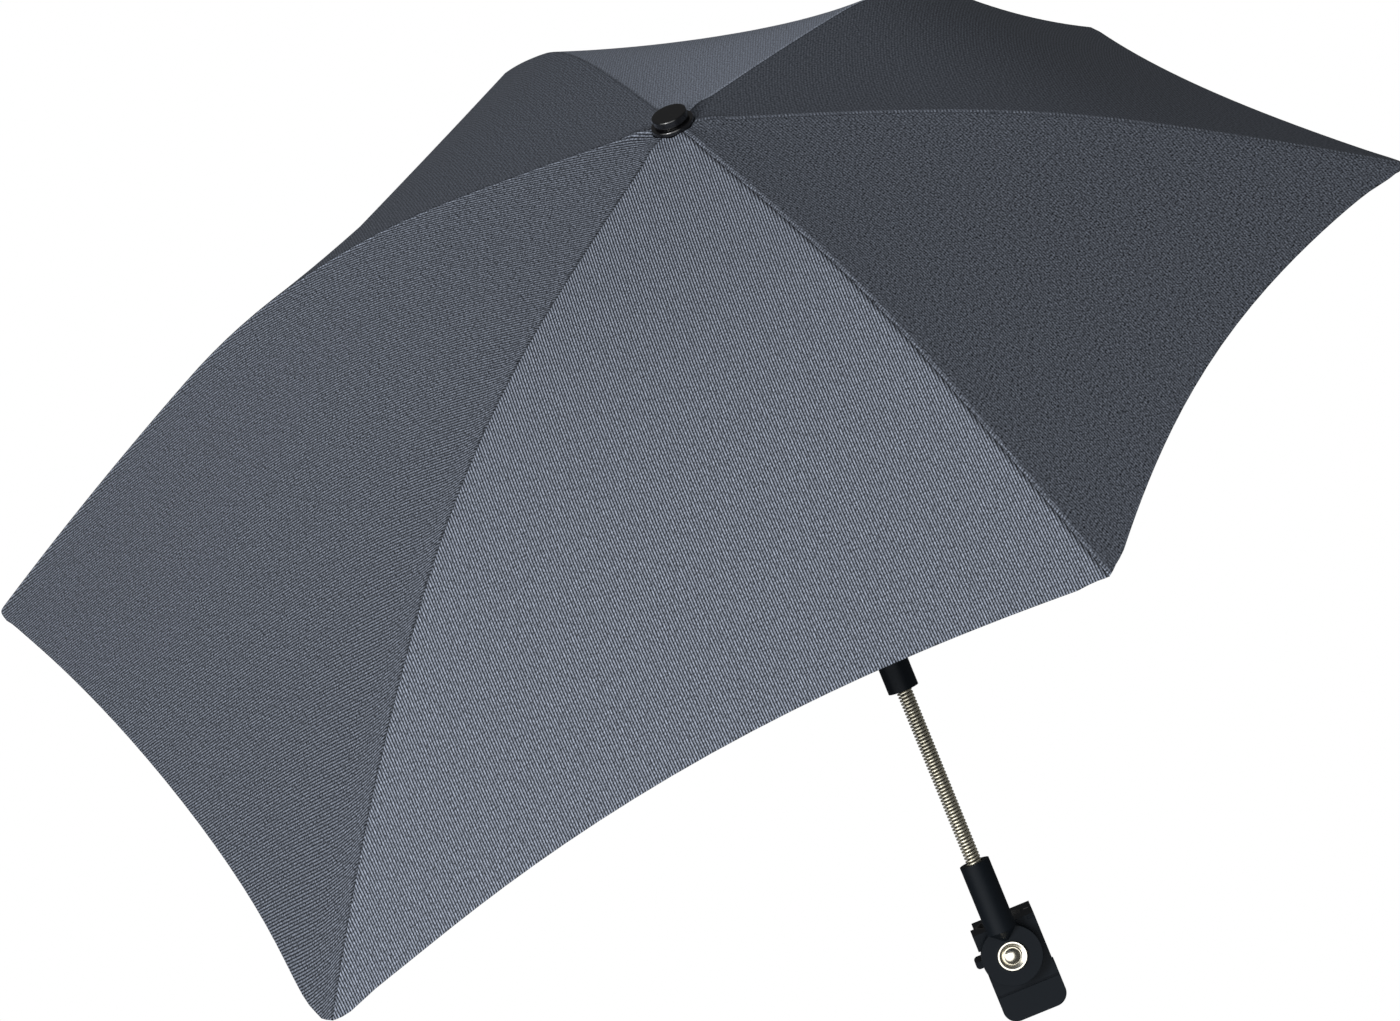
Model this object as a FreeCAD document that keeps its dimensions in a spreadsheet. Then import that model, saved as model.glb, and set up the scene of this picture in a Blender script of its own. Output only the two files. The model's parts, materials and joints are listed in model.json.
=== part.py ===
import FreeCAD, Part
import math
import os
from FreeCAD import Placement, Rotation, Vector

# Pram parasol: a tube clamp, a tilting foot, a coiled gooseneck and a six-rib canopy.
# Millimetres. The origin is on the axis of the pram tube at the height of the foot's pivot.
# +Z runs up the mast, -Y is the front of the clamp, +X is the right of the clamp.

doc = FreeCAD.newDocument("pram_parasol")
sheet = doc.addObject("Spreadsheet::Sheet", "sizes")

SIZES = [
    ("tube_radius", 11.0, "pram tube"),
    ("pad_thick", 1.5, "rubber pad in the clamp"),
    ("left_wall", 2.5, "bracket's wall left of the bore"),
    ("right_wall", 5.7, "bracket's wall right of the bore"),
    ("front_wall", 7.5, "bracket's wall in front of the bore"),
    ("clamp_top", 15.2, "bracket's top above the pivot"),
    ("clamp_seam", 18.3, "seam between bracket and foot block, below the pivot"),
    ("foot_drop", 33.9, "foot block's base below the pivot"),
    ("foot_step", 0.6, "foot block stands out on the right"),
    ("foot_corner", 7.0, "foot block's rounded lower corners"),
    ("lip_rise", 6.0, "foot's lip on the right, above the seam"),
    ("seam_groove", 1.0, "groove along the seam"),
    ("back_wall", 6.0, "rear jaw's wall behind the bore"),
    ("jaw_gap", 0.4, "gap between bracket and jaw"),
    ("jaw_wall", 0.7, "rear jaw's wall left of the bore"),
    ("hinge_off", 2.9, "jaw hinge axis from the bore"),
    ("hinge_lug", 2.8, "radius of the hinge lugs"),
    ("hinge_pin_radius", 1.5, "jaw hinge pin"),
    ("lug_low", 8.0, "jaw lug's lower end below the pivot"),
    ("lug_high", 5.0, "jaw lug's upper end above the pivot"),
    ("tab_stand", 3.9, "thumb tab's reach past the bracket"),
    ("tab_drop", 3.1, "thumb tab's lower edge below the pivot"),
    ("tab_thick", 3.8, "thumb tab's thickness"),
    ("tab_front", 12.0, "thumb tab's front end from the tube axis"),
    ("tab_back", 6.0, "thumb tab's root behind the tube axis"),
    ("notch_low", 8.1, "bracket's side notch, below the pivot"),
    ("notch_high", 6.6, "bracket's side notch, above the pivot"),
    ("notch_depth", 2.0, "depth of the side notch"),
    ("grip_long", 4.2, "small grip ridges on the right ear"),
    ("grip_high", 0.7, "grip ridge's height and stand-out"),
    ("mast_stand", 8.2, "mast axis in front of the bracket"),
    ("disc_radius", 15.5, "pivot disc of the stem"),
    ("face_gap", 0.3, "gap between moving faces"),
    ("run_gap", 0.05, "radial clearance of a running fit"),
    ("stem_radius", 7.8, "lower sleeve"),
    ("stem_top", 51.3, "lower sleeve's top above the pivot"),
    ("taper_top", 14.0, "where the sleeve's taper starts"),
    ("taper_end", 8.5, "where the sleeve's taper ends"),
    ("taper_radius", 1.2, "sleeve's radius at the taper's end"),
    ("bolt_radius", 2.5, "pivot bolt"),
    ("bolt_head", 4.2, "pivot bolt's domed head"),
    ("cup_radius", 7.3, "cup washer"),
    ("cup_thick", 1.7, "cup washer's thickness"),
    ("nut_size", 4.4, "pivot nut's corner radius"),
    ("nut_thick", 3.0, "pivot nut's thickness"),
    ("coil_length", 94.9, "visible length of the gooseneck"),
    ("coil_radius", 4.12, "outside radius of the gooseneck"),
    ("wire_radius", 0.64, "gooseneck wire"),
    ("coil_pitch", 1.76, "gooseneck pitch"),
    ("coil_sunk", 2.8, "gooseneck's ends inside the sleeves"),
    ("core_radius", 2.3, "gooseneck's core"),
    ("core_sunk", 8.0, "core's ends inside the sleeves"),
    ("sleeve_radius", 8.0, "upper sleeve"),
    ("sleeve_length", 20.0, "upper sleeve"),
    ("knuckle_rise", 18.8, "knuckle axis above the upper sleeve"),
    ("knuckle_radius", 6.6, "knuckle's round end"),
    ("cheek_thick", 3.7, "fork's cheeks"),
    ("tongue_thick", 6.0, "knuckle tongue"),
    ("knuckle_pin_radius", 2.5, "knuckle pin"),
    ("fork_floor", 9.0, "fork's floor below the knuckle axis"),
    ("lean", 23.0, "shaft's lean to the front, degrees"),
    ("shaft_run", 298.8, "knuckle axis to the crown"),
    ("shaft_radius", 5.0, "shaft tube"),
    ("shaft_bore", 3.5, "shaft tube's bore"),
    ("shaft_start", 14.0, "shaft tube's lower end above the knuckle axis"),
    ("crown_top", 3.2, "crown notch's top below the crown"),
    ("crown_base", 9.2, "crown notch's base below the crown"),
    ("crown_radius", 13.5, "crown notch and runner flange"),
    ("hinge_radius", 11.0, "rib and stretcher pivots from the shaft axis"),
    ("rib_slot", 3.6, "crown notch's slots"),
    ("slot_floor", 7.5, "radius of the slots' floor"),
    ("rib_radius", 1.5, "rib wire"),
    ("eye_radius", 1.9, "rib's eye"),
    ("pin_radius", 1.0, "small pins"),
    ("rib_sink", 3.4, "rib's axis below the fabric's top"),
    ("inner_run", 130.0, "crown to the stretcher joint"),
    ("slope_crown", 7.0, "rib's slope at the crown, degrees"),
    ("slope_joint", 11.0, "rib's slope at the stretcher joint, degrees"),
    ("tip_inset", 6.0, "rib's end short of the fabric's corner"),
    ("tip_radius", 2.0, "rib tip"),
    ("tip_gap", 0.02, "clearance of the tip's socket"),
    ("clip_length", 7.0, "clip along the rib"),
    ("clip_width", 5.2, "clip across the rib"),
    ("clip_drop", 5.5, "stretcher joint below the rib's axis"),
    ("lug_thick", 1.6, "clip's lug"),
    ("lug_radius", 2.2, "clip's lug"),
    ("bar_thick", 1.6, "stretcher bar"),
    ("bar_half", 2.0, "half the stretcher bar's width"),
    ("rivet_head", 1.7, "rivet head's radius"),
    ("head_thick", 0.7, "rivet head's thickness"),
    ("bar_slot", 2.4, "runner's slots"),
    ("runner_bar", 8.0, "runner flange's height"),
    ("runner_radius", 8.0, "runner's sleeve"),
    ("runner_tail", 27.0, "runner's sleeve below the flange"),
    ("fabric_thick", 0.8, "canopy fabric"),
    ("seam_gap", 0.4, "gap between neighbouring panels"),
    ("fabric_hole", 11.2, "fabric's hole at the crown"),
    ("rim_scallop_1", 0.025, "inset of the panel's rim as a share of the rib"),
    ("rim_scallop_2", 0.055, "inset of the panel's rim as a share of the rib"),
    ("rim_scallop_3", 0.065, "inset of the panel's rim as a share of the rib"),
    ("rim_scallop_4", 0.08, "inset of the panel's rim as a share of the rib"),
    ("rim_scallop_5", 0.09, "inset of the panel's rim as a share of the rib"),
    ("rim_scallop_6", 0.075, "inset of the panel's rim as a share of the rib"),
    ("corner_half", 8.0, "half the width of the fabric's blunt corners"),
    ("flange_radius", 10.7, "crown washer"),
    ("flange_thick", 2.5, "crown washer's thickness"),
    ("flange_sunk", 2.1, "crown washer's base below the crown"),
    ("cap_radius", 8.8, "finial cap"),
    ("cap_height", 3.9, "finial cap"),
    ("neck_radius", 7.6, "groove under the finial cap"),
    ("neck_height", 0.8, "groove under the finial cap"),
    ("stud_radius", 3.0, "finial stud"),
    ("spigot_long", 8.0, "fork's spigot in the upper sleeve"),
    ("notch_spigot", 10.0, "crown notch's spigot in the shaft"),
    ("rib_azimuth_1", 205.0, "rib's azimuth from the right towards the front, degrees"),
    ("rib_reach_1", 457.0, "fabric's corner from the shaft axis"),
    ("rib_drop_1", 207.0, "fabric's corner below the crown"),
    ("rib_slope_1", 38.0, "rib's slope at the corner, degrees"),
    ("rib_azimuth_2", 133.0, "rib's azimuth from the right towards the front, degrees"),
    ("rib_reach_2", 436.0, "fabric's corner from the shaft axis"),
    ("rib_drop_2", 195.0, "fabric's corner below the crown"),
    ("rib_slope_2", 43.0, "rib's slope at the corner, degrees"),
    ("rib_azimuth_3", 73.0, "rib's azimuth from the right towards the front, degrees"),
    ("rib_reach_3", 361.0, "fabric's corner from the shaft axis"),
    ("rib_drop_3", 124.0, "fabric's corner below the crown"),
    ("rib_slope_3", 30.0, "rib's slope at the corner, degrees"),
    ("rib_azimuth_4", 24.5, "rib's azimuth from the right towards the front, degrees"),
    ("rib_reach_4", 341.0, "fabric's corner from the shaft axis"),
    ("rib_drop_4", 94.0, "fabric's corner below the crown"),
    ("rib_slope_4", 24.0, "rib's slope at the corner, degrees"),
    ("rib_azimuth_5", -41.0, "rib's azimuth from the right towards the front, degrees"),
    ("rib_reach_5", 286.0, "fabric's corner from the shaft axis"),
    ("rib_drop_5", 132.0, "fabric's corner below the crown"),
    ("rib_slope_5", 37.0, "rib's slope at the corner, degrees"),
    ("rib_azimuth_6", -100.5, "rib's azimuth from the right towards the front, degrees"),
    ("rib_reach_6", 386.0, "fabric's corner from the shaft axis"),
    ("rib_drop_6", 122.0, "fabric's corner below the crown"),
    ("rib_slope_6", 27.0, "rib's slope at the corner, degrees"),
]
# Sizes worked out from the others.
DERIVED = [
    ("bore_radius", "tube_radius + pad_thick", "clamp's bore round the pads"),
    ("clamp_left", "bore_radius + left_wall", "bracket's left side from the tube axis"),
    ("clamp_right", "bore_radius + right_wall", "bracket's right side from the tube axis"),
    ("clamp_depth", "bore_radius + front_wall", "bracket's front face from the tube axis"),
    ("jaw_depth", "bore_radius + back_wall", "rear jaw's back from the tube axis"),
    ("jaw_left", "bore_radius + jaw_wall", "rear jaw's left side from the tube axis"),
    ("hinge_x", "bore_radius + hinge_off", "jaw hinge axis from the tube axis"),
    ("tab_reach", "clamp_left + tab_stand", "thumb tab's outer face from the tube axis"),
    ("mast_y", "clamp_depth + mast_stand", "mast axis in front of the tube axis"),
]
RIB_COUNT = 6
for row, (alias, value, meaning) in enumerate(SIZES, start=1):
    sheet.set("A%d" % row, meaning)
    sheet.set("B%d" % row, str(value))
    sheet.setAlias("B%d" % row, alias)
for row, (alias, formula, meaning) in enumerate(DERIVED, start=len(SIZES) + 1):
    sheet.set("A%d" % row, meaning)
    sheet.set("B%d" % row, "=" + formula)
    sheet.setAlias("B%d" % row, alias)
doc.recompute()

pieces = []


def size(alias):
    return float(sheet.get(alias))


def at(x=0.0, y=0.0, z=0.0, axis="z"):
    turn = {"z": Rotation(), "x": Rotation(Vector(0, 1, 0), 90), "y": Rotation(Vector(1, 0, 0), 90)}[axis]
    return Placement(Vector(x, y, z), turn)


def solid(kind, place, **sizes):
    item = doc.addObject(kind, kind.split("::")[1])
    for name, formula in sizes.items():
        item.setExpression(name, formula)
    item.Placement = place
    return item


def cylinder(place, radius, height):
    return solid("Part::Cylinder", place, Radius=radius, Height=height)


def block(place, length, width, height):
    return solid("Part::Box", place, Length=length, Width=width, Height=height)


def join(*items):
    item = doc.addObject("Part::MultiFuse", "Join")
    item.Shapes = list(items)
    return item


def cut(base, *tools):
    item = doc.addObject("Part::Cut", "Cut")
    item.Base = base
    item.Tool = tools[0] if len(tools) == 1 else join(*tools)
    return item


def made(shape, place=None):
    item = doc.addObject("Part::Feature", "Form")
    item.Shape = shape
    if place is not None:
        item.Placement = place
    return item


def piece(label, item):
    item.Label = label
    pieces.append(item)
    return item


# Clamp: bracket, foot block, rear jaw with its thumb tab, hinge pin and two rubber pads
bore = "sizes.bore_radius"
low = -size("clamp_seam")
tall = "sizes.clamp_top + sizes.clamp_seam"
left = -size("clamp_left")
front = -size("clamp_depth")
gap = size("face_gap")
hinge = size("hinge_x")
span = size("clamp_top") + size("clamp_seam")
half_gap = size("jaw_gap") / 2

bracket_block = block(at(left, front, low), "sizes.clamp_left + sizes.clamp_right", "sizes.clamp_depth - sizes.jaw_gap / 2", tall)
bracket_lug = cylinder(at(hinge, 0, low), "sizes.hinge_lug", tall)
bracket_cuts = [
    cylinder(at(0, 0, low), bore, tall),
    cylinder(at(hinge, 0, -size("lug_low") - gap), "sizes.hinge_lug + sizes.face_gap", "sizes.lug_low + sizes.lug_high + 2 * sizes.face_gap"),
    cylinder(at(hinge, 0, low), "sizes.hinge_pin_radius", tall),
    block(at(left, front, -size("notch_low")), "sizes.notch_depth", "sizes.clamp_depth", "sizes.notch_low + sizes.notch_high"),
    cylinder(at(0, -size("tube_radius"), 0, "y"), "sizes.bolt_radius", "sizes.clamp_depth"),
    cylinder(at(0, -size("tube_radius"), 0, "y"), "sizes.nut_size + sizes.face_gap", "sizes.pad_thick + sizes.nut_thick + 0.7"),
]
lip_place = at(size("clamp_right") - 1, front, low)
lip = block(lip_place, "sizes.foot_step + 1", "sizes.clamp_depth - sizes.hinge_lug - 2", "sizes.lip_rise")
grips = []
for step in (1, 3):
    grip_place = at(
        size("clamp_right") - size("grip_long"),
        front - size("grip_high") / 2,
        size("clamp_top") - step * size("grip_high"),
    )
    grips.append(block(grip_place, "sizes.grip_long", "sizes.grip_high", "sizes.grip_high"))
piece("clamp_bracket", cut(join(bracket_block, bracket_lug, lip, *grips), *bracket_cuts))

foot = doc.addObject("PartDesign::Body", "foot_body")
plane = [f for f in foot.Origin.OriginFeatures if f.Role == "XZ_Plane"][0]
outline = foot.newObject("Sketcher::SketchObject", "foot_outline")
outline.AttachmentSupport = [(plane, "")]
outline.MapMode = "FlatFace"
corners = [
    (left, low),
    (left, -size("foot_drop")),
    (size("clamp_right") + size("foot_step"), -size("foot_drop")),
    (size("clamp_right") + size("foot_step"), low),
]
for start, end in zip(corners, corners[1:] + corners[:1]):
    outline.addGeometry(Part.LineSegment(Vector(*start, 0), Vector(*end, 0)))
foot_pad = foot.newObject("PartDesign::Pad", "foot_pad")
foot_pad.Profile = outline
foot_pad.setExpression("Length", "sizes.clamp_depth")
doc.recompute()
if foot_pad.Shape.BoundBox.YMax > 1:
    foot_pad.Reversed = True
    doc.recompute()
rounded = []
for number, edge in enumerate(foot_pad.Shape.Edges, start=1):
    ends = [v.Point for v in edge.Vertexes]
    if all(abs(p.z + size("foot_drop")) < 1e-6 for p in ends) and abs(ends[0].x - ends[1].x) < 1e-6:
        rounded.append("Edge%d" % number)
foot_round = foot.newObject("PartDesign::Fillet", "foot_round")
foot_round.Base = (foot_pad, rounded)
foot_round.setExpression("Radius", "sizes.foot_corner")
foot.Tip = foot_round
foot_bore = cylinder(at(0, 0, -size("foot_drop")), bore, "sizes.foot_drop - sizes.clamp_seam")
foot_wide = "sizes.clamp_left + sizes.clamp_right + sizes.foot_step"
foot_back = block(at(left, -half_gap, -size("foot_drop")), foot_wide, "sizes.jaw_gap", "sizes.foot_drop")
foot_pin = cylinder(at(hinge, 0, -size("foot_drop")), "sizes.hinge_lug + sizes.face_gap", "sizes.foot_drop - sizes.clamp_seam")
groove = block(at(left, front, low - size("seam_groove")), foot_wide, "sizes.seam_groove", "sizes.seam_groove")
piece("clamp_foot", cut(foot, foot_bore, foot_back, foot_pin, groove))

jaw_wide = "sizes.jaw_left + sizes.clamp_right"
jaw_block = block(at(-size("jaw_left"), half_gap, low), jaw_wide, "sizes.jaw_depth - sizes.jaw_gap / 2", tall)
jaw_lug = cylinder(at(hinge, 0, -size("lug_low")), "sizes.hinge_lug", "sizes.lug_low + sizes.lug_high")
tab_low = -size("tab_drop")
tab_nose = -size("tab_reach") + size("tab_thick") / 2
tab_deep = "sizes.tab_front + sizes.tab_back"
tab_wide = "sizes.tab_reach - sizes.tab_thick / 2 - sizes.clamp_left - sizes.face_gap"
tab = block(at(tab_nose, -size("tab_front"), tab_low), tab_wide, tab_deep, "sizes.tab_thick")
tab_round = cylinder(at(tab_nose, size("tab_back"), tab_low + size("tab_thick") / 2, "y"), "sizes.tab_thick / 2", tab_deep)
root_wide = "sizes.clamp_left - sizes.jaw_left + 2"
root_deep = "sizes.tab_back - sizes.jaw_gap"
tab_root = block(at(left - 1, size("jaw_gap"), tab_low), root_wide, root_deep, "sizes.tab_thick")
jaw_cuts = [
    cylinder(at(0, 0, low), bore, tall),
    cylinder(at(hinge, 0, low), "sizes.hinge_lug + sizes.face_gap", "sizes.clamp_seam - sizes.lug_low"),
    cylinder(at(hinge, 0, size("lug_high")), "sizes.hinge_lug + sizes.face_gap", "sizes.clamp_top - sizes.lug_high"),
    block(at(hinge, 0, low), "10", "sizes.hinge_lug + sizes.face_gap + 0.5", tall),
]
jaw_body = join(cut(join(jaw_block, tab_root), *jaw_cuts), jaw_lug, tab, tab_round)
jaw_hole = cylinder(at(hinge, 0, low), "sizes.hinge_pin_radius + sizes.run_gap", tall)
piece("rear_jaw", cut(jaw_body, jaw_hole))
piece("jaw_hinge_pin", cylinder(at(hinge, 0, low), "sizes.hinge_pin_radius", tall))
for label, turn in (("front_pad", 180.0), ("rear_pad", 0.0)):
    place = Placement(Vector(0, 0, low), Rotation(Vector(0, 0, 1), turn + 1.5))
    outer = cylinder(place, bore, tall)
    outer.Angle = 177
    inner = cylinder(at(0, 0, low), "sizes.tube_radius", tall)
    piece(label, cut(outer, inner))

# Stem: lower sleeve with its taper and pivot disc, held by the bolt, cup washer and nut
mast = -size("mast_y")
disc_back = front - gap
disc = cylinder(at(0, disc_back, 0, "y"), "sizes.disc_radius", "sizes.mast_y - sizes.clamp_depth - sizes.face_gap")
tube = cylinder(at(0, mast, size("taper_top")), "sizes.stem_radius", "sizes.stem_top - sizes.taper_top")
taper = solid(
    "Part::Cone", at(0, mast, size("taper_end")),
    Radius1="sizes.taper_radius", Radius2="sizes.stem_radius", Height="sizes.taper_top - sizes.taper_end",
)
stem_cuts = [
    cylinder(at(0, disc_back, 0, "y"), "sizes.bolt_radius + sizes.run_gap", "sizes.mast_y"),
    cylinder(at(0, mast, size("stem_top") - size("coil_sunk") - 0.4), "sizes.coil_radius + 0.2", "sizes.coil_sunk + 0.4"),
    cylinder(at(0, mast, size("stem_top") - size("core_sunk")), "sizes.core_radius", "sizes.core_sunk"),
    block(
        at(-size("disc_radius"), disc_back, -size("disc_radius")),
        "2 * sizes.disc_radius", "sizes.disc_radius", "sizes.disc_radius + sizes.stem_top",
    ),
]
piece("lower_sleeve", cut(join(disc, tube, taper), *stem_cuts))

cup_back = mast - gap
cup_front = cup_back - size("cup_thick")
cup = cylinder(at(0, cup_back, 0, "y"), "sizes.cup_radius", "sizes.cup_thick")
dish = solid(
    "Part::Cone", at(0, cup_back - 0.6, 0, "y"),
    Radius1="sizes.bolt_head + 0.3", Radius2="sizes.cup_radius - 0.7", Height="sizes.cup_thick - 0.6",
)
cup_hole = cylinder(at(0, cup_back, 0, "y"), "sizes.bolt_radius", "sizes.cup_thick")
piece("cup_washer", cut(cup, dish, cup_hole))
head_back = cup_back - 0.6
bolt_end = -size("tube_radius") - size("pad_thick") - 0.7
shank = cylinder(at(0, bolt_end, 0, "y"), "sizes.bolt_radius", "%f" % (bolt_end - head_back))
dome_ball = solid("Part::Sphere", at(0, head_back + 3.5, 0), Radius="6.2")
dome_bar = cylinder(at(0, head_back, 0, "y"), "sizes.bolt_head", "4")
dome = doc.addObject("Part::Common", "Dome")
dome.Base = dome_ball
dome.Tool = dome_bar
piece("pivot_bolt", join(shank, dome))
nut = solid("Part::Prism", at(0, bolt_end, 0, "y"), Circumradius="sizes.nut_size", Height="sizes.nut_thick")
nut_hole = cylinder(at(0, bolt_end, 0, "y"), "sizes.bolt_radius", "sizes.nut_thick")
piece("pivot_nut", cut(nut, nut_hole))

# Gooseneck: one helical wire wound in half-turn biarcs round a plain core
coil_low = size("stem_top") - size("coil_sunk")
coil_high = size("stem_top") + size("coil_length") + size("coil_sunk")
wire = size("wire_radius")
wind = size("coil_radius") - wire
pitch = size("coil_pitch")
turns = int((coil_high - coil_low - 2 * wire) / pitch)


def on_coil(turn):
    angle = 2 * math.pi * turn
    return Vector(wind * math.cos(angle), mast + wind * math.sin(angle), coil_low + wire + pitch * turn)


def along_coil(turn):
    angle = 2 * math.pi * turn
    return Vector(-wind * math.sin(angle), wind * math.cos(angle), pitch / (2 * math.pi)).normalize()


def biarc(start, start_way, end, end_way):
    chord = end - start
    ways = start_way + end_way
    a = 2 * (1 - start_way.dot(end_way))
    b = 2 * chord.dot(ways)
    reach = (-b + math.sqrt(b * b + 4 * a * chord.dot(chord))) / (2 * a)
    middle = (start + start_way * reach + end - end_way * reach) * 0.5
    arcs = []
    for p, way, q in ((start, start_way, middle), (end, end_way, middle)):
        step = q - p
        normal = step - way * step.dot(way)
        radius = step.dot(step) / (2 * normal.Length)
        centre = p + normal.normalize() * radius
        bulge = ((p + q) * 0.5 - centre).normalize() * radius
        ends = (p, centre + bulge, q) if p is start else (q, centre + bulge, p)
        arcs.append(Part.Arc(*ends).toShape())
    return arcs


coil_edges = []
step = 0.5
for count in range(turns * 2):
    begin = count * step
    coil_edges += biarc(on_coil(begin), along_coil(begin), on_coil(begin + step), along_coil(begin + step))
section = Part.Wire(Part.makeCircle(wire, on_coil(0), along_coil(0)))
coil = Part.Wire(coil_edges).makePipeShell([section], True, False)
points = []
for edge in coil_edges[:12]:
    points += edge.discretize(7)[:-1]
closest = min((p - q).Length for i, p in enumerate(points) for q in points[i + 13:])
print("gooseneck: %d turns, least gap between turns %.2f mm" % (turns, closest - 2 * wire))
piece("gooseneck_coil", made(coil))
core_low = size("stem_top") - size("core_sunk")
piece("gooseneck_core", cylinder(at(0, mast, core_low), "sizes.core_radius", "sizes.coil_length + 2 * sizes.core_sunk - 0.5"))

# Upper sleeve and the knuckle's fork and pin
sleeve_low = size("stem_top") + size("coil_length")
sleeve_high = sleeve_low + size("sleeve_length")
sleeve = cylinder(at(0, mast, sleeve_low), "sizes.sleeve_radius", "sizes.sleeve_length")
sleeve_cuts = [
    cylinder(at(0, mast, sleeve_low), "sizes.coil_radius + 0.2", "sizes.coil_sunk + 0.4"),
    cylinder(at(0, mast, sleeve_low), "sizes.core_radius + sizes.run_gap", "sizes.core_sunk"),
    cylinder(at(0, mast, sleeve_high - size("spigot_long")), "sizes.shaft_radius", "sizes.spigot_long"),
]
piece("upper_sleeve", cut(sleeve, *sleeve_cuts))
knuckle = sleeve_high + size("knuckle_rise")
floor = knuckle - size("fork_floor")
cheek_in = size("tongue_thick") / 2 + gap
cheek_out = cheek_in + size("cheek_thick")
base_high = "sizes.knuckle_rise - sizes.fork_floor"
fork_base = cylinder(at(0, mast, sleeve_high), "sizes.sleeve_radius", base_high)
fork_spigot = cylinder(at(0, mast, sleeve_high - size("spigot_long")), "sizes.shaft_radius", "sizes.spigot_long")
fork_parts = [fork_base, fork_spigot]
for x in (-cheek_out, cheek_in):
    fork_parts.append(
        block(
            at(x, mast - size("knuckle_radius"), floor - 3),
            "sizes.cheek_thick", "2 * sizes.knuckle_radius", "sizes.fork_floor + 3",
        )
    )
    fork_parts.append(cylinder(at(x, mast, knuckle, "x"), "sizes.knuckle_radius", "sizes.cheek_thick"))
pin_length = "sizes.tongue_thick + 2 * sizes.face_gap + 2 * sizes.cheek_thick"
fork_hole = cylinder(at(-cheek_out, mast, knuckle, "x"), "sizes.knuckle_pin_radius", pin_length)
piece("knuckle_fork", cut(join(*fork_parts), fork_hole))
piece("knuckle_pin", cylinder(at(-cheek_out, mast, knuckle, "x"), "sizes.knuckle_pin_radius", pin_length))

# Shaft: tongue and tube, built upright at the knuckle axis and leant to the front
lean = Rotation(Vector(1, 0, 0), size("lean"))
knuckle_frame = Placement(Vector(0, mast, knuckle), lean)
crown_frame = knuckle_frame.multiply(Placement(Vector(0, 0, size("shaft_run")), Rotation()))


def below(depth, frame=crown_frame):
    return frame.multiply(at(0, 0, -depth))


half_tongue = size("tongue_thick") / 2
tongue_disc = cylinder(knuckle_frame.multiply(at(-half_tongue, 0, 0, "x")), "sizes.knuckle_radius", "sizes.tongue_thick")
tongue_neck = block(knuckle_frame.multiply(at(-half_tongue, -5, 0)), "sizes.tongue_thick", "10", "sizes.shaft_start - 3")
tongue_collar = cylinder(knuckle_frame.multiply(at(0, 0, size("shaft_start") - 4)), "6.5", "4")
tongue_spigot = cylinder(knuckle_frame.multiply(at(0, 0, size("shaft_start"))), "sizes.shaft_bore", "12")
tongue_hole_place = knuckle_frame.multiply(at(-half_tongue, 0, 0, "x"))
tongue_hole = cylinder(tongue_hole_place, "sizes.knuckle_pin_radius + sizes.run_gap", "sizes.tongue_thick")
piece("knuckle_tongue", cut(join(tongue_disc, tongue_neck, tongue_collar, tongue_spigot), tongue_hole))
shaft_length = "sizes.shaft_run - sizes.shaft_start - sizes.crown_base"
shaft_place = knuckle_frame.multiply(at(0, 0, size("shaft_start")))
shaft_out = cylinder(shaft_place, "sizes.shaft_radius", shaft_length)
shaft_in = cylinder(shaft_place, "sizes.shaft_bore", shaft_length)
piece("shaft_tube", cut(shaft_out, shaft_in))

# Rib lines: a shared inner arc from the crown, then two arcs of the rib's own out to its corner
slope_in = math.radians(size("slope_crown"))
slope_mid = math.radians(size("slope_joint"))
inner_bend = size("inner_run") / (math.sin(slope_mid) - math.sin(slope_in))
joint_drop = inner_bend * (math.cos(slope_in) - math.cos(slope_mid))


def upward(slope):
    return Vector(math.sin(slope), 0, math.cos(slope))


def outward(slope):
    return Vector(math.cos(slope), 0, -math.sin(slope))


def rib_arcs(number):
    """Bend radius, centre and both end slopes of the three arcs of the fabric's ridge over a rib."""
    start = Vector(size("inner_run"), 0, -joint_drop)
    end = Vector(size("rib_reach_%d" % number), 0, -size("rib_drop_%d" % number))
    slope_tip = math.radians(size("rib_slope_%d" % number))
    chord = end - start
    ways = outward(slope_mid) + outward(slope_tip)
    a = 2 * (1 - outward(slope_mid).dot(outward(slope_tip)))
    b = 2 * chord.dot(ways)
    reach = (-b + math.sqrt(b * b + 4 * a * chord.dot(chord))) / (2 * a)
    middle = chord - ways * reach
    slope_turn = math.atan2(-middle.z, middle.x)
    bend_in = reach / math.tan((slope_turn - slope_mid) / 2)
    bend_out = reach / math.tan((slope_tip - slope_turn) / 2)
    return [
        (inner_bend, upward(slope_in) * -inner_bend, slope_in, slope_mid),
        (bend_in, start - upward(slope_mid) * bend_in, slope_mid, slope_turn),
        (bend_out, end - upward(slope_tip) * bend_out, slope_turn, slope_tip),
    ]


def rib_length(number):
    return sum(bend * (last - first) for bend, centre, first, last in rib_arcs(number))


def ridge(number, length):
    """Point, in the rib's plane, and slope of the fabric's ridge at that length from the crown."""
    arcs = rib_arcs(number)
    for bend, centre, first, last in arcs:
        turn = length / bend
        if first + turn <= last or (bend, centre, first, last) == arcs[-1]:
            return centre + upward(first + turn) * bend, first + turn
        length -= bend * (last - first)


def share_point(number, share, side=0):
    """Point of the ridge at a share of its length, moved sideways off the rib's plane."""
    turn = Rotation(Vector(0, 0, 1), -size("rib_azimuth_%d" % number))
    return turn.multVec(ridge(number, share * rib_length(number))[0] + Vector(0, side, 0))


def rib_frame(number):
    return crown_frame.multiply(Placement(Vector(), Rotation(Vector(0, 0, 1), -size("rib_azimuth_%d" % number))))


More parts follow.
